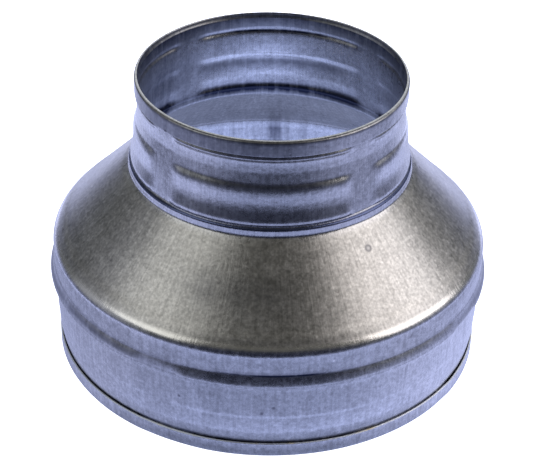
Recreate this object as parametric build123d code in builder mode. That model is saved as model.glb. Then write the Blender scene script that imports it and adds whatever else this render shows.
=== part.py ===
from build123d import *
import os
from math import cos, hypot, radians, sin, tan

# A pressed sheet-steel duct reducer: a neck for the small duct, a cone, and a collar for the large duct.
# Millimetres. The axis is Z, the collar's hem stands on Z = 0 and the neck points up.

sheet = 0.6

# Ducts that slide over the two ends, and the radial clearance that each end leaves inside its duct
neck_duct_bore = 100.0
neck_clearance = 0.25
collar_duct_bore = 160.0
collar_clearance = 0.3

# Heights of the stacked zones, from the collar's foot up to the rim of the neck
collar_length = 30.0
collar_stop_height = 6.4
shoulder_height = 8.8
cone_half_angle = 45.0
foot_height = 2.4
neck_length = 33.6

# How far the stops and the shoulder stand out past the bore of their duct
neck_stop_proud = 1.6
neck_flare_proud = 1.0
collar_stop_proud = 2.0
shoulder_proud = 0.4

# Hems: the edges folded outwards, the neck's downwards and the collar's upwards
neck_hem_height = 5.7
neck_hem_gap = 0.2
collar_hem_height = 5.6
collar_hem_gap = 0.6
collar_hem_inset = 0.2
collar_joggle_height = 2.2
fold_chamfer = 0.35

# Neck beads, pressed outwards between plain gaps. Their levels are measured down from the rim,
# and those of the flare's crest and of the crease under it up from the foot
neck_bead_depth = 1.5
neck_taper_start = 12.5
neck_ledge_top = 16.7
neck_ledge_height = 1.8
neck_bead_face = 5.0
neck_flare_crest = 1.9
neck_rib_depth = 0.7
neck_rib_half_height = 1.3
neck_rib_below_hem = 1.5
neck_crease_height = 0.6

# Collar beads, pressed outwards between plain gaps
collar_bead_depth = 0.6
collar_bead_bottom = 16.9
collar_bead_run_in = 0.8
collar_stop_slope = 2.9
collar_stop_face = 1.6

# The expander's jaws, and the plain gap that each pair of jaws leaves
jaws = 4
neck_end_slope = 1.0
neck_gap_width = 12.4
neck_gap_angle = 40.5
collar_end_slope = 3.0
collar_gap_width = 8.4
collar_gap_angle = 62.0

# The soft turn from the cone to the shoulder, as the length it takes from each side
shoulder_turn = 1.3

# Radii of the outer face
neck_radius = neck_duct_bore / 2 - neck_clearance
neck_wall = neck_radius - neck_bead_depth
neck_crease_radius = neck_duct_bore / 2
neck_flare_radius = neck_duct_bore / 2 + neck_flare_proud
neck_stop_radius = neck_duct_bore / 2 + neck_stop_proud
shoulder_radius = collar_duct_bore / 2 + shoulder_proud
collar_stop_radius = collar_duct_bore / 2 + collar_stop_proud
collar_radius = collar_duct_bore / 2 - collar_clearance
collar_wall = collar_radius - collar_bead_depth
collar_hem_wall = collar_radius - collar_hem_inset - collar_hem_gap - sheet

# Levels
slope = radians(cone_half_angle)
collar_stop_top = collar_length + collar_stop_height
plain_taper_top = collar_stop_top - sheet
shoulder_top = collar_stop_top + shoulder_height
cone_top = shoulder_top + (shoulder_radius - neck_stop_radius) / tan(slope)
foot_top = cone_top + foot_height
crease_level = foot_top + neck_crease_height
height = foot_top + neck_length
neck_hem_edge = height - neck_hem_height
taper_level = height - neck_taper_start

# Outer face of the wall before its beads, downwards from the neck's fold to the collar's
wall_line = [
    (neck_wall, height - sheet),
    (neck_wall, taper_level),
    (neck_crease_radius, crease_level),
    (neck_stop_radius, foot_top),
    (neck_stop_radius, cone_top),
    (shoulder_radius - shoulder_turn * sin(slope), shoulder_top + shoulder_turn * cos(slope)),
    (shoulder_radius, shoulder_top - shoulder_turn),
    (shoulder_radius, plain_taper_top),
    (collar_wall, collar_length),
    (collar_wall, collar_hem_height + collar_joggle_height),
    (collar_hem_wall, collar_hem_height),
    (collar_hem_wall, sheet),
]

# Outer faces of the beads, downwards, each from where it leaves the plain wall to where it comes back
rib_level = neck_hem_edge - neck_rib_below_hem
neck_rib = [
    (neck_wall, rib_level + neck_rib_half_height),
    (neck_wall + neck_rib_depth, rib_level),
    (neck_wall, rib_level - neck_rib_half_height),
]
ledge_level = height - neck_ledge_top
taper = (neck_crease_radius - neck_wall) / (taper_level - crease_level)
ledge_root = neck_wall + taper * (taper_level - ledge_level)
neck_bead = [
    (ledge_root, ledge_level),
    (neck_radius, ledge_level - neck_ledge_height),
    (neck_radius, ledge_level - neck_ledge_height - neck_bead_face),
    (neck_flare_radius, foot_top + neck_flare_crest),
    (neck_crease_radius, crease_level),
]
collar_bead = [
    (shoulder_radius, collar_stop_top),
    (collar_stop_radius, collar_stop_top - collar_stop_slope),
    (collar_stop_radius, collar_stop_top - collar_stop_slope - collar_stop_face),
    (collar_radius, collar_length),
    (collar_radius, collar_bead_bottom + collar_bead_run_in),
    (collar_wall, collar_bead_bottom),
]

# The plain wall between the ends of each bead
neck_rib_plain = [neck_rib[0], neck_rib[-1]]
neck_bead_plain = [neck_bead[0], neck_bead[-1]]
collar_bead_plain = [
    collar_bead[0],
    (shoulder_radius, plain_taper_top),
    (collar_wall, collar_length),
    collar_bead[-1],
]


def inset(line, depth):
    """A line at a depth behind an outer face that is drawn downwards, with its corners mitred."""
    steps = [Vector(*b) - Vector(*a) for a, b in zip(line, line[1:])]
    sides = [Vector(step.Y, -step.X).normalized() for step in steps]
    pairs = zip([sides[0], *sides], [*sides, sides[-1]])
    moves = [(a + b) * (depth / (1 + a.dot(b))) for a, b in pairs]
    return [(r + move.X, z + move.Y) for (r, z), move in zip(line, moves)]


def hem(wall, gap, crest, edge):
    """A hem on the outside of a wall: the folded layer from its gap to its raw edge, and then the fold."""
    up = 1 if crest > edge else -1
    layer = wall + gap
    return [
        (layer, crest - up * sheet),
        (layer, edge),
        (layer + sheet, edge),
        (layer + sheet, crest - up * fold_chamfer),
        (layer + sheet - fold_chamfer, crest),
        (wall - sheet + fold_chamfer, crest),
        (wall - sheet, crest - up * fold_chamfer),
    ]


def hollow(outline, above=None, below=None):
    """The inner face behind a bead. The wall at each end is upright, unless its next corner is given."""
    (top_r, top_z), (bottom_r, bottom_z) = outline[0], outline[-1]
    above = above or (top_r, top_z + sheet)
    below = below or (bottom_r, bottom_z - sheet)
    return inset([above, *outline, below], sheet)[1:-1]


def bead_ring(beads, depth, gap_angle, gap_radius, gap_half_width, end_slope):
    """Rings between each outline and the plain wall's line at a depth, cut by gaps that widen outwards."""
    radii = [r for outline, plain in beads for r, z in outline]
    root = min(radii) - 2 * sheet
    reach = max(radii) + sheet
    root_half_width = gap_half_width - end_slope * (gap_radius - root)
    reach_half_width = gap_half_width + end_slope * (reach - gap_radius)
    with BuildPart() as ring:
        with BuildSketch(Plane.XZ):
            for outline, plain in beads:
                back = [(r - depth, z) for r, z in reversed(plain)]
                back[0] = (back[0][0], outline[-1][1])
                back[-1] = (back[-1][0], outline[0][1])
                with BuildLine():
                    Polyline(*outline, *back, close=True)
                make_face()
        revolve(axis=Axis.Z)
        with BuildSketch():
            with PolarLocations(0, jaws, start_angle=gap_angle):
                Polygon(
                    (root, -root_half_width),
                    (reach, -reach_half_width),
                    (reach, reach_half_width),
                    (root, root_half_width),
                    align=None,
                )
        extrude(amount=height, mode=Mode.SUBTRACT)
    return ring.part


def end_shift(end_slope):
    """How much further along a bead's inner face stops, so that its sloping end is as thick as the sheet."""
    return sheet * (hypot(1, end_slope) - end_slope)


neck_beads = [(neck_rib, neck_rib_plain), (neck_bead, neck_bead_plain)]
neck_hollow_beads = [
    (hollow(neck_rib), neck_rib_plain),
    (hollow(neck_bead, (neck_wall, taper_level), (neck_stop_radius, foot_top)), neck_bead_plain),
]
neck_half_gap = neck_gap_width / 2
neck_pads = bead_ring(
    neck_beads, sheet / 2, neck_gap_angle, neck_radius, neck_half_gap, neck_end_slope
)
neck_hollows = bead_ring(
    neck_hollow_beads,
    2 * sheet,
    neck_gap_angle,
    neck_radius - sheet,
    neck_half_gap + end_shift(neck_end_slope),
    neck_end_slope,
)
collar_beads = [(collar_bead, collar_bead_plain)]
collar_hollow_beads = [(hollow(collar_bead), collar_bead_plain)]
collar_half_gap = collar_gap_width / 2
collar_pads = bead_ring(
    collar_beads, sheet / 2, collar_gap_angle, collar_wall, collar_half_gap, collar_end_slope
)
collar_hollows = bead_ring(
    collar_hollow_beads,
    2 * sheet,
    collar_gap_angle,
    collar_wall - sheet,
    collar_half_gap + end_shift(collar_end_slope),
    collar_end_slope,
)

with BuildPart() as reducer_shell:
    with BuildSketch(Plane.XZ):
        with BuildLine():
            collar_hem = hem(collar_hem_wall, collar_hem_gap, 0, collar_hem_height)
            inner_line = inset(wall_line, sheet)[1:-1]
            neck_hem = hem(neck_wall, neck_hem_gap, height, neck_hem_edge)
            Polyline(*wall_line, *collar_hem, *reversed(inner_line), *reversed(neck_hem), close=True)
        make_face()
    revolve(axis=Axis.Z)
    add(neck_pads)
    add(collar_pads)
    add(neck_hollows, mode=Mode.SUBTRACT)
    add(collar_hollows, mode=Mode.SUBTRACT)

reducer_shell.part.label = "reducer_shell"
os.makedirs("parts", exist_ok=True)
export_step(reducer_shell.part, "parts/reducer_shell.step")
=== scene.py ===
import math

import bpy
import numpy as np
from mathutils import Matrix, Vector


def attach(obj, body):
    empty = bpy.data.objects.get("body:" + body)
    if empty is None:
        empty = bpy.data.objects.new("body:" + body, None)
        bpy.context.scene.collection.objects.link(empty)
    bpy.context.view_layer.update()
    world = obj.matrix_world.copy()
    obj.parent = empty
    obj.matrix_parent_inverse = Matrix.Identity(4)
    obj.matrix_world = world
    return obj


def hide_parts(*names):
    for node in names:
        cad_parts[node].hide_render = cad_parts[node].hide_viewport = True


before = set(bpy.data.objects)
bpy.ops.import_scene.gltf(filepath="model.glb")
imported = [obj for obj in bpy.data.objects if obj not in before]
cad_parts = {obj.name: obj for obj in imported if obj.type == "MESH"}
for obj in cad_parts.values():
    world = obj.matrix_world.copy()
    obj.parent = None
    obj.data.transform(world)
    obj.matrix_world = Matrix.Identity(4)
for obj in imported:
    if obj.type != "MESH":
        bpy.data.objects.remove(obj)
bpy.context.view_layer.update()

MM = 0.001

# The sheet and the radii of its outer face, in millimetres
SHEET = 0.6
NECK_WALL = 48.25
NECK_BEAD = 49.75
NECK_FLARE = 51.0
NECK_STOP = 51.6
SHOULDER = 80.4
COLLAR_STOP = 81.95
COLLAR_BEAD = 79.7
COLLAR_WALL = 79.1
COLLAR_HEM_WALL = 78.3

# Levels, in millimetres above the floor. MID_CONE parts the neck's beads from the collar's
HEIGHT = 110.0
NECK_HEM_EDGE = 104.3
NECK_TAPER_TOP = 97.5
CREASE = 77.4
FOOT_TOP = 76.4
CONE_TOP = 74.0
MID_CONE = 60.0
SHOULDER_TOP = 45.2
COLLAR_STOP_TOP = 36.4
PLAIN_TAPER_TOP = 35.8
COLLAR_TOP = 30.0
JOGGLE_TOP = 10.8
COLLAR_HEM_TOP = 5.6

# Corners of the outer face, downwards as (radius, level). First the runs that both outlines share
FOOT_AND_CONE = [
    (NECK_STOP - 0.15, FOOT_TOP + 0.5),
    (NECK_STOP, FOOT_TOP),
    (NECK_STOP, CONE_TOP),
    (54.05, 71.75),
    (74.8, 50.85),
    (76.6, 49.26),
    (78.3, 47.4),
    (SHOULDER, SHOULDER_TOP),
]
JOGGLE_AND_HEM = [
    (78.7, 7.6),
    (COLLAR_HEM_WALL, COLLAR_HEM_TOP),
    (COLLAR_HEM_WALL, 0.0),
]

# The beads that the expander's jaws press out
NECK_RIB = [
    (NECK_WALL, NECK_HEM_EDGE),
    (NECK_WALL + 0.65, 103.2),
    (NECK_WALL + 0.6, 102.5),
    (NECK_WALL, 101.9),
]
NECK_BEAD_AND_FLARE = [
    (NECK_WALL + 0.36, 93.3),
    (49.32, 92.0),
    (49.68, 90.8),
    (NECK_BEAD, 88.8),
    (NECK_BEAD, 86.0),
    (49.95, 83.4),
    (NECK_FLARE, 79.5),
    (NECK_FLARE, 78.2),
    (50.35, CREASE),
]
STOP_RIDGE = [
    (SHOULDER, COLLAR_STOP_TOP),
    (81.05, 35.0),
    (81.65, 33.3),
    (COLLAR_STOP, 31.8),
    (COLLAR_STOP, 31.3),
]
COLLAR_BAND = [
    (COLLAR_BEAD, COLLAR_TOP),
    (COLLAR_BEAD, 18.3),
    (79.46, 17.25),
    (79.3, 12.0),
    (79.25, JOGGLE_TOP),
]

PLAIN_CORNERS = [
    (NECK_WALL, HEIGHT),
    (NECK_WALL, NECK_TAPER_TOP),
    (50.3, CREASE),
    *FOOT_AND_CONE,
    (SHOULDER, PLAIN_TAPER_TOP),
    (COLLAR_WALL, COLLAR_TOP),
    (COLLAR_WALL, JOGGLE_TOP),
    *JOGGLE_AND_HEM,
]
BEADED_CORNERS = [
    (NECK_WALL, HEIGHT),
    *NECK_RIB,
    (NECK_WALL, NECK_TAPER_TOP),
    *NECK_BEAD_AND_FLARE,
    *FOOT_AND_CONE,
    *STOP_RIDGE,
    *COLLAR_BAND,
    *JOGGLE_AND_HEM,
]

# The four jaws of the expander leave plain gaps: the middle of one in degrees, half its width, the length
# over which a bead fades in, and the radius where those are measured
JAWS = 4
NECK_GAP = (40.8, 6.2, 5.0, NECK_BEAD)
COLLAR_GAP = (62.0, 6.4, 7.0, COLLAR_STOP)

# The share of the stop ridge that the collar's gaps keep, as (level, share)
RIDGE_KEPT = [(29.5, 0.0), (31.5, 0.8), (36.4, 0.8), (36.5, 0.0)]

# How softly the sheet turns, as (level, spread of the bend), and how far and how finely a bend is averaged
BENDS = [
    (0.0, 0.3), (18.0, 0.3), (30.0, 0.4), (32.0, 0.6), (34.0, 0.6), (36.0, 0.35), (37.0, 0.35), (43.0, 0.8),
    (45.2, 1.0), (47.2, 0.5), (49.0, 0.6), (73.0, 0.35), (77.0, 0.15), (78.8, 0.2), (80.5, 0.5), (83.5, 0.9),
    (87.0, 1.2), (90.0, 0.45), (91.2, 0.4), (93.3, 0.35), (98.0, 0.5), (110.0, 0.3),
]
BEND_REACH = 3.0
BEND_STEP = 0.1

# The grid: columns round the part and rows up each face. The rows are packed closer within CORNER_REACH
# of a corner, by the second density on top of the first
AROUND = 288
OUTER_ROWS = 200
INNER_ROWS = 100
FOLD_ROWS = 9
ROLL_ROWS = 7
CORNER_REACH = 0.7
PLAIN_DENSITY = 0.22
CORNER_DENSITY = 2.6
DENSITY_SAMPLES = 4000

# The wall's grid stops this far short of the rows that close it
SEAM = 0.02
RIM_SEAM = 0.05

# How far up the extra row lies on the outside of each hem, and on the lean of the rim, as a share of the way
COLLAR_HEM_ROW = 0.4
NECK_HEM_ROW = 0.8
RIM_LEAN_ROW = 0.3

# The rim: how far down its inner edge begins to lean, how far it leans out round the part, where its flat
# crest begins and ends past that, and how far down it rolls on both sides
RIM_LEAN_HEIGHT = 1.8
RIM_LEAN = [(-180, 0.52), (-110, 0.52), (-50, -0.35), (0, -0.45), (50, -0.35), (110, 0.52), (180, 0.52)]
RIM_CREST = (0.25, 0.65)
RIM_ROLL = (0.7, 0.75)

# The gap behind each hem, and how that of the collar varies round the part, as (degrees, share)
NECK_HEM_GAP = 0.2
COLLAR_HEM_GAP = 0.32
HEM_PLAY = [
    (-180, 1.0), (-60, 1.1), (-34, 1.1), (-32, 0.55), (-20, 0.5), (-15, 1.0),
    (20, 0.9), (28, 0.6), (56, 0.6), (58, 1.4), (110, 1.2), (180, 1.0),
]

# How far the raw edge of the collar's hem slopes down to its outer side, as (degrees, millimetres)
HEM_DROP = [(-180, 0.2), (-37, 0.2), (-32, 0.5), (-20, 0.5), (-14, 0.2), (180, 0.2)]

# Slight waves of the hems' layers and raw edges, as (count round the part, size in millimetres, phase)
COLLAR_LAYER_WAVES = [(5, 0.03, 0.4), (11, 0.02, 2.0)]
COLLAR_EDGE_WAVES = [(2, 0.06, 1.0), (9, 0.03, 0.2)]
NECK_LAYER_WAVES = [(2, 0.03, 0.0), (5, 0.02, 1.3)]
NECK_EDGE_WAVES = [(3, 0.07, 0.5), (8, 0.04, 1.1)]

# Rows over the raw edge of the collar's hem, from its gap outwards: the distance out from the back of the
# folded layer, the distance below the edge, the share of the edge's slope to add to that, the raw edge's
# mark, and painted shade in the gap
COLLAR_EDGE_ROWS = [
    (0.0, 0.3, 0, 0.0, 0.8),
    (0.0, 0.05, 0, 0.6, 0.4),
    (0.05, 0.0, 0, 1.0, 0.0),
    (SHEET - 0.12, 0.0, 1, 1.0, 0.0),
    (SHEET, 0.18, 1, 0.4, 0.0),
    (SHEET, 0.4, 1, 0.0, 0.0),
    (SHEET, 0.65, 1, 0.0, 0.0),
]
# Painted shade at the foot of the gap behind the collar's hem
COLLAR_GAP_SHADE = 0.8

# Rows over the raw edge of the neck's hem, from its outer side inwards: the distance out from the back of the
# folded layer, the distance above the edge, the raw edge's mark, and the share of the hem's darkening
NECK_EDGE_ROWS = [
    (SHEET, 0.5, 0.0, 1),
    (SHEET, 0.25, 0.0, 1),
    (SHEET, 0.05, 0.4, 0),
    (SHEET - 0.05, 0.0, 1.0, 0),
    (0.05, 0.0, 1.0, 0),
    (0.0, 0.05, 0.6, 0),
    (0.0, 0.3, 0.0, 0),
]

# Darkening of the neck's hem round the part, and painted shade on the rim from its foot over its inner to its
# outer roll
NECK_HEM_DARKENING = [(-180, 0.1), (-62, 0.42), (-30, 0.42), (0, 0.36), (30, 0.12), (60, 0.05), (180, 0)]
RIM_SHADE = (0.2, 0.3, 0.4, 0.5)

# Dark bands on the outer and the inner face, many of them painted shade and some dirt, drag marks and stains:
# level, height of the band, strength round the part
OUTER_DIRT_AND_SHADE = [
    # Painted shade under the neck's hem edge
    (103.9, 0.4, [(-180, 0.2), (180, 0.2)]),
    # Painted shade over the neck's flare, strongest at the front
    (81.2, 1.8, [(-180, 0.2), (-36, 0.15), (-28, 0.28), (24, 0.28), (33, 0.15), (180, 0.15)]),
    # Painted shade on the neck's ledge at the front
    (92.5, 0.55, [(-180, 0), (-27, 0), (-18, 0.5), (18, 0.5), (27, 0), (180, 0)]),
    # A darker patch on the cone, front left
    (59.5, 4.5, [(-180, 0), (-32, 0), (-20, 0.26), (2, 0.26), (12, 0), (180, 0)]),
    # Darkening of the collar's stop ridge, strongest at the sides
    (34.2, 1.5, [
        (-180, 0.3), (-85, 0.5), (-45, 0.5), (-34, 0.35), (-18, 0.1), (0, 0),
        (30, 0), (50, 0.15), (70, 0.4), (180, 0.3),
    ]),
    # A dark line at the crease between the shoulder and the stop ridge, darkest at the front
    (36.5, 0.5, [
        (-180, 0.3), (-16, 0.35), (-9, 0.7), (-1, 1.0), (11, 1.0), (15, 0.5), (30, 0.2), (180, 0.3),
    ]),
    # Painted shade in the gap above the collar's hem edge
    (6.2, 0.6, [(-180, 0.8), (180, 0.8)]),
]
INNER_DIRT_AND_SHADE = [
    # A darker inner face just under the rim
    (107.0, 2.5, [(-180, 0.8), (180, 0.8)]),
    # Painted shade in the groove of the neck's rib inside, at the back, leaving its ends clean
    (102.7, 0.5, [(-180, 0.9), (-163, 0.9), (-158, 0.1), (152, 0.1), (157, 0.9), (180, 0.9)]),
    # Painted shade down the inner sides of the neck, more on the left
    (90.0, 14.0, [
        (-180, 0), (-148, 0), (-136, 0.4), (-120, 0.55), (-60, 0.55), (-40, 0),
        (60, 0), (80, 0.35), (110, 0.35), (130, 0.05), (150, 0), (180, 0),
    ]),
    # Painted shade under the inner ledge of the neck, at the back
    (89.0, 1.8, [(-180, 0.42), (-150, 0.42), (-143, 0), (143, 0), (150, 0.42), (180, 0.42)]),
    # Painted shade in the hollow inside the neck's foot, lighter at two of the jaws' gaps
    (76.8, 2.7, [
        (-180, 1.0), (-150, 1.0), (-143, 0.4), (-136, 0.4), (-129, 0.9),
        (124, 0.9), (128, 0.4), (135, 0.4), (142, 1.0), (180, 1.0),
    ]),
    # Stains and streaks inside the collar, at the back
    (40.0, 4.5, [
        (-180, 0.8), (-178.6, 0.25), (-176.6, 0.1), (-175.4, 0.35), (-174.4, 0.1), (-170.5, 0.1), (-169, 0.4),
        (-167.5, 0.1), (-166, 0.1), (-164.8, 0.35), (-163, 0.05), (163, 0.05), (168.5, 0.1), (170.2, 0.35),
        (172, 0.1), (173.8, 0.1), (175, 0.35), (176.2, 0.12), (177.3, 0.7), (178.8, 0.9), (180, 0.8),
    ]),
]

# Small marks on the sheet: centre, core and edge in millimetres, and colour
MARKS = [
    ((34.6, -46.8, 67.4), 1.1, 1.7, (0.24, 0.24, 0.25)),
    ((34.6, -46.8, 67.4), 0.2, 0.9, (0.42, 0.42, 0.43)),
    ((3.1, -79.6, 22.1), 0.2, 0.9, (0.24, 0.24, 0.27)),
    ((-1.0, -79.7, 19.6), 0.2, 0.9, (0.24, 0.24, 0.27)),
    ((-29.9, -73.9, 22.1), 0.2, 0.9, (0.24, 0.24, 0.27)),
    ((23.2, -77.0, 41.1), 0.2, 0.7, (1.0, 1.0, 1.0)),
    ((-36.0, -33.3, 104.4), 0.3, 1.0, (0.10, 0.10, 0.12)),
]

# The fields for drag lines and lathe rings lie on a cylinder of one radius, squeezed along the lines
FLOW_RADIUS = 65.0
FLOW_SQUEEZE = 0.06

# Noises of the finish: scale, detail and roughness
GRAIN = (1000.0, 4.0, 0.65)
MOTTLE = (520.0, 3.0, 0.6)
CLOUD = (90.0, 4.0, 0.6)
STREAK = (1300.0, 3.0, 0.6)
PATCH = (260.0, 3.0, 0.6)
SPECKLE = (950.0, 2.0, 0.5)
RINGS = (240.0, 3.0, 0.6)

# Finishes that follow the level, as (level, strength), and the levels between which they are laid out: the
# rubbed cone, a burnished lip that is also a painted highlight, and painted shade in the groove at the neck's
# foot
FINISH_SPAN = (44.0, 84.0)
RUBBED_CONE = [(44.96, 0.0), (47.52, 1.0), (72.16, 1.0), (74.4, 0.0)]
# A burnished band at the cone's lip: smoother, and painted brighter as a highlight
BURNISHED_HIGHLIGHT_LIP = [(45.52, 0.0), (46.32, 0.6), (46.8, 0.6), (47.84, 0.0)]
# Painted shade, navy, in the groove at the neck's foot
GROOVE_PAINTED_SHADE = [(76.32, 0.0), (76.64, 0.9), (77.16, 0.9), (77.6, 0.0)]

# Colours of the finish; a pair is its darker and its lighter, or its common and its rare colour
ZINC = ((0.66, 0.67, 0.70), (0.96, 0.97, 1.0))
BARE_EDGE = ((0.84, 0.89, 1.0), (0.90, 0.84, 0.70))
CONE_TINT = (1.0, 0.98, 0.93)
# The burnished lip's brighter colour, a painted highlight
BURNISHED_HIGHLIGHT = (0.90, 0.89, 0.87)
# Navy painted shade for the groove at the neck's foot
GROOVE_SHADE_COLOUR = (0.05, 0.075, 0.20)
# Dark navy for the dirt and the painted shade of the dark bands
DIRT_AND_SHADE = (0.030, 0.037, 0.070)

# The floor, in metres
FLOOR_REACH = 6.0
PAPER_LEVEL = -0.0004
GLOW_LEVEL = -0.0002

# The paper's glow under the part and past it, towards the viewer, to the sides and behind: its strength by
# the distance from the axis in metres, and its tints
UNDER_FRONT = [(0.0, 0.41), (0.02, 0.50), (0.04, 0.95), (0.057, 0.74), (0.076, 0.50)]
UNDER_SIDE = [(0.0, 0.50), (0.05, 0.38), (0.076, 0.20)]
UNDER_BACK = [(0.0, 0.50), (0.013, 0.33), (0.034, 1.0), (0.046, 0.52), (0.076, 0.40)]
UNDER_TINT = (1.0, 1.18, 1.95)
FRONT = [
    (0.080, 0.18), (0.085, 0.30), (0.088, 0.75), (0.094, 0.43), (0.108, 0.35), (0.141, 0.34), (0.165, 0.50),
    (0.190, 0.63), (0.200, 0.35), (0.207, 0.22), (0.217, 0.06), (0.25, 0.05), (0.30, 0.07), (0.45, 0.07),
    (1.0, 0.05),
]
FRONT_TINT = (1.0, 1.14, 1.85)
SIDE = [
    (0.080, 0.63), (0.108, 0.58), (0.132, 0.39), (0.150, 0.50), (0.185, 0.84), (0.205, 0.56), (0.225, 0.21),
    (0.250, 0.36), (0.290, 0.42), (0.34, 0.24), (0.50, 0.17), (1.0, 0.15),
]
SIDE_TINT = (1.0, 1.09, 1.68)
BACK = [
    (0.080, 0.95), (0.105, 0.95), (0.170, 0.58), (0.195, 0.62), (0.26, 1.8),
    (0.36, 1.8), (0.50, 0.7), (0.80, 0.22), (1.0, 0.16),
]
BACK_TINT = (1.0, 1.07, 1.55)

# How the glow differs between the left and the right, by the distance from the axis
LEFT_SHARE = [(0.12, 0.76), (0.132, 0.88), (0.15, 0.80), (0.18, 1.18), (0.205, 1.25), (0.225, 0.70)]
RIGHT_SHARE = [(0.105, 1.18), (0.125, 1.0), (0.165, 1.08), (0.185, 1.0), (0.24, 0.88)]

# Where the front and the back of the floor begin and end, by the heading from 0 at the viewer to 1 behind
FLOOR_FRONT = [(0.02, 1.0), (0.21, 0.0)]
FLOOR_BACK = [(0.64, 0.0), (0.95, 1.0)]

# The room round the table: colours by height, from 0 at the horizon to 1 overhead
ROOM = [(0.0, (0.130, 0.138, 0.150)), (0.30, (0.100, 0.105, 0.100)), (0.70, (0.108, 0.105, 0.093))]
VIEWER_SIDE = [
    (0.0, (0.022, 0.024, 0.042)),
    (0.35, (0.024, 0.029, 0.055)),
    (0.62, (0.030, 0.033, 0.046)),
    (0.78, (0.155, 0.152, 0.136)),
    (0.86, (0.180, 0.176, 0.158)),
    (0.93, (0.225, 0.22, 0.197)),
    (1.0, (0.18, 0.175, 0.155)),
]
SIDE_WALLS = (0.33, 0.34, 0.38)
BACKDROP = (0.85, 0.87, 0.90)

# Where those parts of the room lie, by the same heading as the floor's, and by height
VIEWER_HEADING = [(0.10, 1.0), (0.27, 0.0)]
SIDE_HEADING = [(0.26, 0.0), (0.38, 1.0), (0.60, 1.0), (0.72, 0.0)]
SIDE_HEIGHT = [(0.0, 1.0), (0.45, 1.0), (0.66, 0.0)]
BACKDROP_HEADING = [(0.78, 0.0), (0.90, 1.0)]
BACKDROP_HEIGHT = [(0.14, 0.0), (0.35, 1.0), (0.70, 1.0), (0.85, 0.0)]

# Soft lamps: name, place and size in metres, power in watts, and colour; and the point they all face
LAMPS = [
    ("left_lamp", (-0.66, -0.30, 0.74), 0.66, 1.2, (1.0, 1.0, 0.96)),
    ("right_lamp", (0.80, -0.14, 0.67), 0.78, 3.1, (1.0, 0.93, 0.905)),
    ("right_fill", (0.72, 0.30, 0.62), 0.70, 0.62, (1.0, 0.97, 0.96)),
]
LAMP_AIM = (0, 0, 0.06)

# The photograph's camera: place in metres, angles in degrees, lens and sensor in millimetres
CAMERA_PLACE = (0.0, -0.5565, 0.4073)
CAMERA_TILT = 33.29
CAMERA_TURN = 0.25
CAMERA_ROLL = 1.41
CAMERA_LENS = 115.82
CAMERA_SENSOR = 36.0


def levels_and_radii(corners):
    """Two arrays, rising levels and their radii, from corners listed downwards as (radius, level)."""
    rising = np.array(corners, float)[::-1]
    return rising[:, 1], rising[:, 0]


PLAIN_WALL = levels_and_radii(PLAIN_CORNERS)
BEADED_WALL = levels_and_radii(BEADED_CORNERS)


def between(value, stops):
    """Values read off (position, value) stops, straight between them."""
    return np.interp(value, *np.array(stops, float).T)


def round_about(azimuth, stops):
    """A value round the part, straight between (degrees, value) stops that run from the back to the back."""
    return between(np.mod(np.degrees(azimuth) + 180.0, 360.0) - 180.0, stops)


def waves(azimuth, parts):
    """A sum of cosines round the part, from (count, size, phase) triples."""
    return sum(size * np.cos(count * azimuth + phase) for count, size, phase in parts)


def jaw_share(azimuth, gap):
    """How far the jaws have pressed the wall at each azimuth, from 0 in the gaps to 1 under the jaws.

    A smooth step over the distance along the wall from the middle of the nearest gap.
    """
    middle, half_width, fade, radius = gap
    pitch = 360.0 / JAWS
    turn = np.mod(np.degrees(azimuth) - middle + pitch / 2, pitch) - pitch / 2
    t = np.clip((radius * np.radians(np.abs(turn)) - half_width) / fade + 0.5, 0, 1)
    return t * t * (3 - 2 * t)


def wall_radius(level, azimuth):
    """Radius of the outer face on a grid of levels and azimuths, with sharp bends.

    Between the plain and the beaded outline at each level, by the jaws' share at each azimuth. The stop ridge
    of the collar keeps most of its height in the gaps.
    """
    plain = np.interp(level, *PLAIN_WALL)[:, None]
    beaded = np.interp(level, *BEADED_WALL)[:, None]
    kept = between(level, RIDGE_KEPT)[:, None]
    neck_share = jaw_share(azimuth, NECK_GAP)[None, :]
    collar_share = np.maximum(jaw_share(azimuth, COLLAR_GAP)[None, :], kept)
    share = np.where(level[:, None] > MID_CONE, neck_share, collar_share)
    return plain + share * (beaded - plain)


def row_levels(rows, low, high):
    """Levels of the grid's rows between two levels, packed closer near the corners of the wall."""
    fine = np.linspace(low, high, DENSITY_SAMPLES)
    corners = np.unique(np.concatenate([PLAIN_WALL[0], BEADED_WALL[0]]))[1:-1]
    near = np.exp(-(((fine[:, None] - corners[None, :]) / CORNER_REACH) ** 2)).sum(1)
    share = np.cumsum(PLAIN_DENSITY + np.minimum(near, 1.0) * CORNER_DENSITY)
    share = (share - share[0]) / (share[-1] - share[0])
    return np.interp(np.linspace(0, 1, rows), share, fine)


def soft_wall(level, azimuth):
    """Radius of the outer face at each level and azimuth, its bends softened.

    Each row is an average of the sharp wall over nearby levels, weighted by a bell curve as wide as the bend.
    """
    fine = np.arange(-BEND_REACH, HEIGHT + BEND_REACH, BEND_STEP)
    sharp = wall_radius(fine, azimuth)
    spread = between(level, BENDS)[:, None]
    weight = np.exp(-0.5 * ((fine[None, :] - level[:, None]) / spread) ** 2)
    return (weight / weight.sum(1, keepdims=True)) @ sharp


def half_fold(start, end, foot, crest, steps):
    """A fold from one radius to another: half an ellipse from the foot's level to the crest's and back.

    Its two ends are left out.
    """
    t = np.linspace(0, np.pi, steps + 2)[1:-1, None]
    radius = (start + end) / 2 + (start - end) / 2 * np.cos(t)
    return radius, foot + (crest - foot) * np.sin(t)


def dirt_and_shade_bands(level, azimuth, bands):
    """Dirt, drag marks and painted shade on a grid of levels and azimuths.

    A sum of bell-shaped bands, each as (level, height, strength round the part), held between 0 and 1.
    """
    total = np.zeros((len(level), len(azimuth)))
    for middle, height, stops in bands:
        bell = np.exp(-(((level - middle) / height) ** 2))
        total += bell[:, None] * round_about(azimuth, stops)[None, :]
    return np.clip(total, 0, 1)


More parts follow.
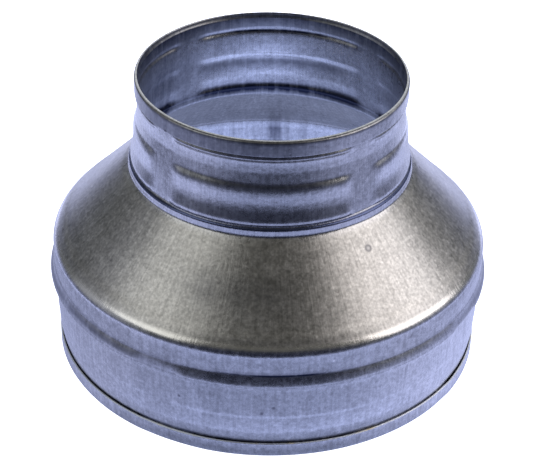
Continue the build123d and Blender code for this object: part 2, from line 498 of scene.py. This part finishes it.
def shell_grid():
    """The closed skin of the sheet as grids of radius and level, and the marks of raw edges and of dirt and
    painted shade.

    The rows run down the outer face, round the collar's hem, up the inner face and round the neck's hem.
    """
    azimuth = np.linspace(0, 2 * np.pi, AROUND, endpoint=False)
    one = np.ones((1, AROUND))
    grids = [], [], [], []

    def rows(radius, level, mark=0.0, shade_and_dirt=0.0):
        """Adds rows from numbers, columns with one value per row, lines with one per azimuth, or grids."""
        values = [np.atleast_2d(value) for value in (radius, level, mark, shade_and_dirt)]
        for grid, value in zip(grids, np.broadcast_arrays(*values, one)):
            grid.append(value)

    outer_level = row_levels(OUTER_ROWS, SHEET + SEAM, HEIGHT - SHEET - SEAM)[::-1]
    # Dark bands outside: dirt, and painted shade in creases and gaps
    outer_dirt_and_shade = dirt_and_shade_bands(outer_level, azimuth, OUTER_DIRT_AND_SHADE)
    rows(soft_wall(outer_level, azimuth), outer_level[:, None], 0.0, outer_dirt_and_shade)

    # The collar's hem: up the hidden side of its layer, over the raw edge, down outside and round the fold
    gap = COLLAR_HEM_GAP * round_about(azimuth, HEM_PLAY) + waves(azimuth, COLLAR_LAYER_WAVES)
    layer = COLLAR_HEM_WALL + gap
    edge = COLLAR_HEM_TOP + waves(azimuth, COLLAR_EDGE_WAVES)
    drop = round_about(azimuth, HEM_DROP)
    # The gap behind the layer is painted in shade
    rows(layer, SHEET, 0.0, COLLAR_GAP_SHADE)
    for out, down, slope, mark, shade_and_dirt in COLLAR_EDGE_ROWS:
        rows(layer + out, edge - slope * drop - down, mark, shade_and_dirt)
    rows(layer + SHEET, COLLAR_HEM_ROW * edge)
    rows(layer + SHEET, SHEET)
    rows(*half_fold(layer + SHEET, COLLAR_HEM_WALL - SHEET, SHEET, 0.0, FOLD_ROWS))

    # The inner face lies behind the outer one, at the sheet's thickness measured square to the wall
    inner_level = row_levels(INNER_ROWS, SHEET + SEAM, HEIGHT - RIM_LEAN_HEIGHT - RIM_SEAM)
    outer = soft_wall(inner_level, azimuth)
    run = np.gradient(outer, inner_level, axis=0)
    # Dark bands inside: painted shade in the grooves, hollows and sides, and stains in the collar
    inner_dirt_and_shade = dirt_and_shade_bands(inner_level, azimuth, INNER_DIRT_AND_SHADE)
    rows(outer - SHEET * np.sqrt(1 + run**2), inner_level[:, None], 0.0, inner_dirt_and_shade)

    # The neck's rim: it leans, and rolls over its crest, painted in shade that grows from its foot to its
    # outer roll
    inner_rim = NECK_WALL - SHEET
    outer_rim = NECK_WALL + NECK_HEM_GAP + SHEET
    lean = round_about(azimuth, RIM_LEAN)
    lean_foot, lean_top = HEIGHT - RIM_LEAN_HEIGHT, HEIGHT - RIM_ROLL[0]
    rows(inner_rim, lean_foot, 0.0, RIM_SHADE[0])
    lean_row = lean_foot + RIM_LEAN_ROW * (lean_top - lean_foot)
    rows(inner_rim + RIM_LEAN_ROW * lean, lean_row, 0.0, RIM_SHADE[1])
    crest_inside, crest_outside = (inner_rim + lean + past for past in RIM_CREST)
    quarter = np.linspace(0, np.pi / 2, ROLL_ROWS)[:, None]
    rise, fall = np.sin(quarter), np.cos(quarter)
    rows(crest_inside - RIM_CREST[0] * fall, HEIGHT - RIM_ROLL[0] * (1 - rise), 0.0, RIM_SHADE[2] * fall)
    outer_roll = crest_outside + (outer_rim - crest_outside) * rise
    rows(outer_roll, HEIGHT - RIM_ROLL[1] * (1 - fall), 0.0, RIM_SHADE[3] * rise)

    # The neck's hem: down the outer side of its layer, over the raw edge and up into the fold
    layer = NECK_WALL + NECK_HEM_GAP + waves(azimuth, NECK_LAYER_WAVES)
    edge = NECK_HEM_EDGE + waves(azimuth, NECK_EDGE_WAVES)
    # The hem darkens round the part, most on the left and at the front
    hem_darkening = round_about(azimuth, NECK_HEM_DARKENING)
    rows(layer + SHEET, edge + NECK_HEM_ROW * (HEIGHT - SHEET - edge), 0.0, hem_darkening)
    for out, above, mark, share in NECK_EDGE_ROWS:
        rows(layer + out, edge + above, mark, share * hem_darkening)
    rows(NECK_WALL + NECK_HEM_GAP, HEIGHT - SHEET)
    return azimuth, *(np.vstack(grid) for grid in grids)


def make_shell(name, material):
    """The reducer's sheet as one closed mesh: point (row, column) is at (r sin a, -r cos a, z).

    Azimuth a is 0 towards the viewer and grows to the viewer's right.
    """
    azimuth, radius, level, raw, dirt_and_shade = shell_grid()
    count = radius.shape[0]
    east, north = np.sin(azimuth)[None, :], -np.cos(azimuth)[None, :]
    points = np.stack([radius * east, radius * north, level], axis=-1) * MM
    row, column = np.meshgrid(np.arange(count), np.arange(AROUND), indexing="ij")
    next_row, next_column = (row + 1) % count, (column + 1) % AROUND
    corners = ((row, column), (next_row, column), (next_row, next_column), (row, next_column))
    quads = np.stack([k * AROUND + j for k, j in corners], axis=-1).reshape(-1, 4)

    mesh = bpy.data.meshes.new(name)
    mesh.vertices.add(points.size // 3)
    mesh.vertices.foreach_set("co", points.reshape(-1))
    mesh.loops.add(quads.size)
    mesh.loops.foreach_set("vertex_index", quads.reshape(-1).astype(np.int32))
    mesh.polygons.add(len(quads))
    mesh.polygons.foreach_set("loop_start", np.arange(0, quads.size, 4, dtype=np.int32))
    mesh.polygons.foreach_set("loop_total", np.full(len(quads), 4, dtype=np.int32))
    mesh.update(calc_edges=True)
    mesh.polygons.foreach_set("use_smooth", np.ones(len(quads), dtype=bool))

    # Two places on the sheet laid out flat: one squeezed along it, for the drag lines that run up and down,
    # and one squeezed round it, for the rings of the lathe
    climb, widen = (np.diff(grid, axis=0, append=grid[:1]) for grid in (level, radius))
    along = np.cumsum(np.hypot(widen, climb), axis=0)
    ring = FLOW_RADIUS * np.ones_like(along)
    flow = np.stack([ring * east, ring * north, along * FLOW_SQUEEZE], axis=-1) * MM
    lathe = np.stack([ring * east * FLOW_SQUEEZE, ring * north * FLOW_SQUEEZE, along], axis=-1) * MM
    for field, values in (("flow", flow), ("lathe", lathe)):
        mesh.attributes.new(field, "FLOAT_VECTOR", "POINT").data.foreach_set("vector", values.reshape(-1))
    # The raw edges' mark, and the dirt and painted shade, kept on the points
    for field, values in (("raw_edge", raw), ("dirt_and_shade", dirt_and_shade)):
        mesh.attributes.new(field, "FLOAT", "POINT").data.foreach_set("value", values.reshape(-1))
    mesh.validate()
    mesh.materials.append(material)

    piece = bpy.data.objects.new(name, mesh)
    bpy.context.scene.collection.objects.link(piece)
    return piece


def new_material(name):
    """A new node material, with its node tree and its surface shader."""
    material = bpy.data.materials.new(name)
    material.use_nodes = True
    tree = material.node_tree
    return material, tree, tree.nodes["Principled BSDF"]


def node(tree, kind, **values):
    """A node of a kind, with its properties or its inputs' values set by name."""
    made = tree.nodes.new(kind)
    for key, value in values.items():
        if key in made.inputs.keys():
            made.inputs[key].default_value = value
        else:
            setattr(made, key, value)
    return made


def rgba(colour):
    """A colour or a grey level, with full opacity."""
    return (*colour, 1) if isinstance(colour, tuple) else (colour, colour, colour, 1)


def ramp(tree, source, *stops):
    """A colour ramp fed by a socket, from (position, grey or colour) stops."""
    made = tree.nodes.new("ShaderNodeValToRGB")
    elements = made.color_ramp.elements
    while len(elements) < len(stops):
        elements.new(0.5)
    for element, (position, colour) in zip(elements, stops):
        element.position = position
        element.color = rgba(colour)
    tree.links.new(source, made.inputs[0])
    return made.outputs[0]


def tinted(stops, tint):
    """Ramp stops with each level multiplied into a tint."""
    return [(position, tuple(level * part for part in tint)) for position, level in stops]


def mix(tree, factor, a, b, blend="MIX"):
    """Two colours mixed by a factor; each may be a socket or a plain value."""
    made = node(tree, "ShaderNodeMix", data_type="RGBA", blend_type=blend)
    for socket, value in ((made.inputs[0], factor), (made.inputs[6], a), (made.inputs[7], b)):
        if isinstance(value, bpy.types.NodeSocket):
            tree.links.new(value, socket)
        else:
            socket.default_value = rgba(value) if socket.type == "RGBA" else value
    return made.outputs[2]


def scaled(tree, source, low, high, curve="LINEAR"):
    """A value stretched so that low becomes 0 and high becomes 1, and held there."""
    made = node(tree, "ShaderNodeMapRange", interpolation_type=curve)
    made.inputs["From Min"].default_value = low
    made.inputs["From Max"].default_value = high
    tree.links.new(source, made.inputs["Value"])
    return made.outputs[0]


def split(tree, source):
    """The X, Y and Z of a vector."""
    made = node(tree, "ShaderNodeSeparateXYZ")
    tree.links.new(source, made.inputs[0])
    return made.outputs["X"], made.outputs["Y"], made.outputs["Z"]


def vector_math(tree, source, operation):
    """The node that works one operation on a vector."""
    made = node(tree, "ShaderNodeVectorMath", operation=operation)
    tree.links.new(source, made.inputs[0])
    return made


def noise(tree, place, scale, detail, roughness):
    """The level of a cloudy noise at a place."""
    made = node(tree, "ShaderNodeTexNoise", Scale=scale, Detail=detail, Roughness=roughness)
    tree.links.new(place, made.inputs["Vector"])
    return made.outputs["Fac"]


def by_level(tree, rise, stops):
    """A mask for a finish, a painted highlight and a painted shade that follows the level in millimetres,
    where rise runs from 0 to 1 over the span.
    """
    low, high = FINISH_SPAN
    return ramp(tree, rise, *[((level - low) / (high - low), value) for level, value in stops])


def spot(tree, place, centre, core, edge):
    """A round mark: 1 within the core's distance from a point in millimetres, and 0 past the edge's."""
    gap = vector_math(tree, place, "DISTANCE")
    gap.inputs[1].default_value = [part * MM for part in centre]
    return scaled(tree, gap.outputs["Value"], edge * MM, core * MM, "SMOOTHSTEP")


def galvanised_sheet():
    """Zinc-coated steel: a dull grey-blue mirror with grain, drag lines, bare edges, dirt, painted shade in
    creases, grooves and hollows, and a painted highlight on a burnished lip.
    """
    material, tree, surface = new_material("galvanised_sheet")
    link = tree.links.new
    place = node(tree, "ShaderNodeTexCoord").outputs["Object"]
    flow, lathe, raw, dirt_and_shade = (
        node(tree, "ShaderNodeAttribute", attribute_name=name).outputs[kind]
        for name, kind in (("flow", "Vector"), ("lathe", "Vector"), ("raw_edge", "Fac"), ("dirt_and_shade", "Fac"))
    )
    mottle = noise(tree, place, *MOTTLE)
    cloud = noise(tree, place, *CLOUD)
    streak = noise(tree, flow, *STREAK)
    ragged = ramp(tree, noise(tree, flow, *PATCH), (0.34, 0.9), (0.56, 1.25))

    rise = scaled(tree, split(tree, place)[2], *(level * MM for level in FINISH_SPAN))
    rubbed = by_level(tree, rise, RUBBED_CONE)
    burnished_highlight = by_level(tree, rise, BURNISHED_HIGHLIGHT_LIP)
    groove_shade = by_level(tree, rise, GROOVE_PAINTED_SHADE)

    tone = ramp(tree, noise(tree, place, *GRAIN), (0.30, ZINC[0]), (0.70, ZINC[1]))
    for share, field, dark, light in (
        (1.0, mottle, (0.3, 0.70), (0.7, 1.0)),
        (1.0, cloud, (0.3, 0.86), (0.7, 1.0)),
        (1.0, streak, (0.35, 0.81), (0.65, 1.0)),
        (rubbed, noise(tree, place, *SPECKLE), (0.34, 0.74), (0.66, 1.0)),
        (rubbed, noise(tree, lathe, *RINGS), (0.38, 0.90), (0.60, 1.0)),
    ):
        tone = mix(tree, share, tone, ramp(tree, field, dark, light), "MULTIPLY")
    tone = mix(tree, rubbed, tone, CONE_TINT, "MULTIPLY")
    # The burnished lip, painted brighter as a highlight
    tone = mix(tree, mix(tree, 1.0, burnished_highlight, ragged, "MULTIPLY"), tone, BURNISHED_HIGHLIGHT)
    tone = mix(tree, raw, tone, ramp(tree, cloud, (0.57, BARE_EDGE[0]), (0.70, BARE_EDGE[1])))
    # Painted shade: navy in the groove at the neck's foot
    tone = mix(tree, groove_shade, tone, GROOVE_SHADE_COLOUR)
    # Dirt and painted shade darken the tone towards dark navy
    dirt_and_shade_mask = mix(tree, 1.0, dirt_and_shade, ragged, "MULTIPLY")
    tone = mix(tree, dirt_and_shade_mask, tone, DIRT_AND_SHADE)
    for centre, core, edge, colour in MARKS:
        tone = mix(tree, spot(tree, place, centre, core, edge), tone, colour)
    link(tone, surface.inputs["Base Color"])

    dull = ramp(tree, cloud, (0.3, 0.18), (0.7, 0.28))
    dull = mix(tree, 0.5, dull, ramp(tree, mottle, (0.3, 0.19), (0.7, 0.39)))
    dull = mix(tree, 0.07, dull, rubbed, "ADD")
    for share, roughness in ((burnished_highlight, 0.16), (raw, 0.55), (dirt_and_shade_mask, 0.40)):
        dull = mix(tree, share, dull, roughness)
    link(dull, surface.inputs["Roughness"])
    surface.inputs["Metallic"].default_value = 1.0

    pits = node(tree, "ShaderNodeBump", Strength=0.075, Distance=0.6 * MM)
    link(mottle, pits.inputs["Height"])
    lines = node(tree, "ShaderNodeBump", Strength=0.12, Distance=0.3 * MM)
    link(streak, lines.inputs["Height"])
    link(pits.outputs["Normal"], lines.inputs["Normal"])
    link(lines.outputs["Normal"], surface.inputs["Normal"])
    return material


def plane(name, level, material):
    """A square level sheet, as wide as the floor."""
    corners = [(x * FLOOR_REACH, y * FLOOR_REACH, level) for x, y in ((-1, -1), (1, -1), (1, 1), (-1, 1))]
    mesh = bpy.data.meshes.new(name)
    mesh.from_pydata(corners, [], [(0, 1, 2, 3)])
    mesh.materials.append(material)
    sheet = bpy.data.objects.new(name, mesh)
    bpy.context.scene.collection.objects.link(sheet)
    return sheet


def white_paper():
    """The paper under the part, over-exposed as in the photograph. The metal doesn't see it."""
    material, _, surface = new_material("white_paper")
    surface.inputs["Base Color"].default_value = (0.85, 0.86, 0.88, 1)
    surface.inputs["Roughness"].default_value = 0.9
    surface.inputs["Emission Color"].default_value = (1.0, 1.0, 1.0, 1)
    surface.inputs["Emission Strength"].default_value = 1.2
    paper = plane("floor", PAPER_LEVEL, material)
    paper.visible_glossy = False
    paper.visible_diffuse = False


def paper_glow():
    """What the metal sees of the paper: a bluish glow that only reflections show.

    It dies away towards the viewer, less so to the sides, and grows behind. Under the part it is in shade.
    """
    material, tree, surface = new_material("paper_glow")
    link = tree.links.new
    place = node(tree, "ShaderNodeTexCoord").outputs["Object"]
    distance = vector_math(tree, place, "LENGTH").outputs["Value"]
    across, away, _ = split(tree, vector_math(tree, place, "NORMALIZE").outputs[0])
    front, side, back = (
        ramp(tree, distance, *tinted(under, UNDER_TINT), *tinted(past, tint))
        for under, past, tint in (
            (UNDER_FRONT, FRONT, FRONT_TINT),
            (UNDER_SIDE, SIDE, SIDE_TINT),
            (UNDER_BACK, BACK, BACK_TINT),
        )
    )
    heading = scaled(tree, away, -1.0, 1.0)
    glow = mix(tree, ramp(tree, heading, *FLOOR_FRONT), side, front)
    glow = mix(tree, ramp(tree, heading, *FLOOR_BACK), glow, back)
    left, right = (ramp(tree, distance, *share) for share in (LEFT_SHARE, RIGHT_SHARE))
    strength = mix(tree, scaled(tree, across, -1.0, 1.0), left, right)
    surface.inputs["Base Color"].default_value = (0.0, 0.0, 0.0, 1)
    surface.inputs["Specular IOR Level"].default_value = 0.0
    link(glow, surface.inputs["Emission Color"])
    link(strength, surface.inputs["Emission Strength"])
    glow_sheet = plane("floor_glow", GLOW_LEVEL, material)
    glow_sheet.visible_camera = False
    glow_sheet.visible_shadow = False


def studio_room():
    """A dim warm room round the table: dark behind the viewer, paler low at the sides, with a backdrop."""
    world = bpy.data.worlds.new("studio")
    world.use_nodes = True
    tree = world.node_tree
    background = tree.nodes["Background"]
    _, away, height = split(tree, node(tree, "ShaderNodeTexCoord").outputs["Generated"])
    heading = scaled(tree, away, -1.0, 1.0)
    room, viewer_side = ramp(tree, height, *ROOM), ramp(tree, height, *VIEWER_SIDE)
    colour = mix(tree, ramp(tree, heading, *VIEWER_HEADING), room, viewer_side)
    for headings, heights, paint in (
        (SIDE_HEADING, SIDE_HEIGHT, SIDE_WALLS),
        (BACKDROP_HEADING, BACKDROP_HEIGHT, BACKDROP),
    ):
        share = mix(tree, 1.0, ramp(tree, heading, *headings), ramp(tree, height, *heights), "MULTIPLY")
        colour = mix(tree, share, colour, paint)
    tree.links.new(colour, background.inputs["Color"])
    background.inputs["Strength"].default_value = 1.0
    bpy.context.scene.world = world


def lamp(name, place, size, power, colour):
    """A square soft lamp at a place, facing the part."""
    data = bpy.data.lights.new(name, "AREA")
    data.shape = "SQUARE"
    data.size = size
    data.energy = power
    data.color = colour
    lamp_object = bpy.data.objects.new(name, data)
    lamp_object.location = place
    lamp_object.rotation_mode = "QUATERNION"
    lamp_object.rotation_quaternion = (Vector(LAMP_AIM) - Vector(place)).to_track_quat("-Z", "Y")
    bpy.context.scene.collection.objects.link(lamp_object)


def photo_camera():
    """The camera at the photograph's place: its distance, tilt, turn and roll."""
    tilt, turn, roll = (math.radians(angle) for angle in (CAMERA_TILT, CAMERA_TURN, CAMERA_ROLL))
    ahead = Vector((math.sin(turn) * math.cos(tilt), math.cos(turn) * math.cos(tilt), -math.sin(tilt)))
    right = Vector((math.cos(turn), -math.sin(turn), 0))
    up = right.cross(ahead)
    across = right * math.cos(roll) + up * math.sin(roll)
    upright = up * math.cos(roll) - right * math.sin(roll)
    data = bpy.data.cameras.new("photo_camera")
    data.sensor_width = CAMERA_SENSOR
    data.lens = CAMERA_LENS
    camera = bpy.data.objects.new("photo_camera", data)
    axes = Matrix((across, upright, -ahead)).transposed().to_4x4()
    camera.matrix_world = Matrix.Translation(CAMERA_PLACE) @ axes
    bpy.context.scene.collection.objects.link(camera)
    bpy.context.scene.camera = camera


shell = make_shell("sheet_shell", galvanised_sheet())
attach(shell, "root")
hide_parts("reducer_shell")

white_paper()
paper_glow()
studio_room()
for settings in LAMPS:
    lamp(*settings)
photo_camera()
bpy.context.scene.view_settings.view_transform = "Standard"
